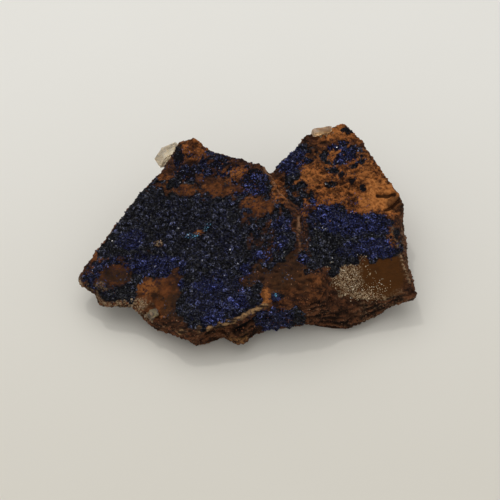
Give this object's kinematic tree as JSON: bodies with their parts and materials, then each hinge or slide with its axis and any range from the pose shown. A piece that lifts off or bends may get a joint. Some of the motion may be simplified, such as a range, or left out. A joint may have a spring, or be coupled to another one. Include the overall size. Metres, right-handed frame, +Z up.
{
  "type": "azurite mineral specimen",
  "caption": "Hand specimen of azurite: a broken slab of brown limonite that carries crusts of blue azurite crystals, sugary quartz and pale calcite. It lies on its flat underside.",
  "frame": {"origin": "centre of the bounding box, on the surface that the specimen rests on", "axes": "+X along the slab to its right tip, +Y to its notched back edge, +Z up"},
  "size_m": [0.0928, 0.0632, 0.0242],
  "materials": {
    "limonite": "rough broken rock",
    "azurite_dark": "glossy druse of tiny crystals",
    "azurite_blue": "glossy druse of tiny crystals",
    "malachite": "satin specks",
    "quartz": "sugary grains",
    "calcite": "cloudy, translucent cleavage"
  },
  "bodies": {
    "root": {"limonite_slab": "limonite", "azurite_druse_left": "azurite_dark", "azurite_band_back": "azurite_blue", "azurite_patch_notch": "azurite_blue", "azurite_belt_right": "azurite_blue", "azurite_patch_ledge": "azurite_blue", "azurite_spot_peak": "azurite_blue", "azurite_crust_front": "azurite_dark", "azurite_rosette": "azurite_blue", "quartz_crust": "quartz", "calcite_crystal_back": "calcite", "calcite_ridge_peak": "calcite", "calcite_bud_front": "calcite"}
  },
  "joints": []
}
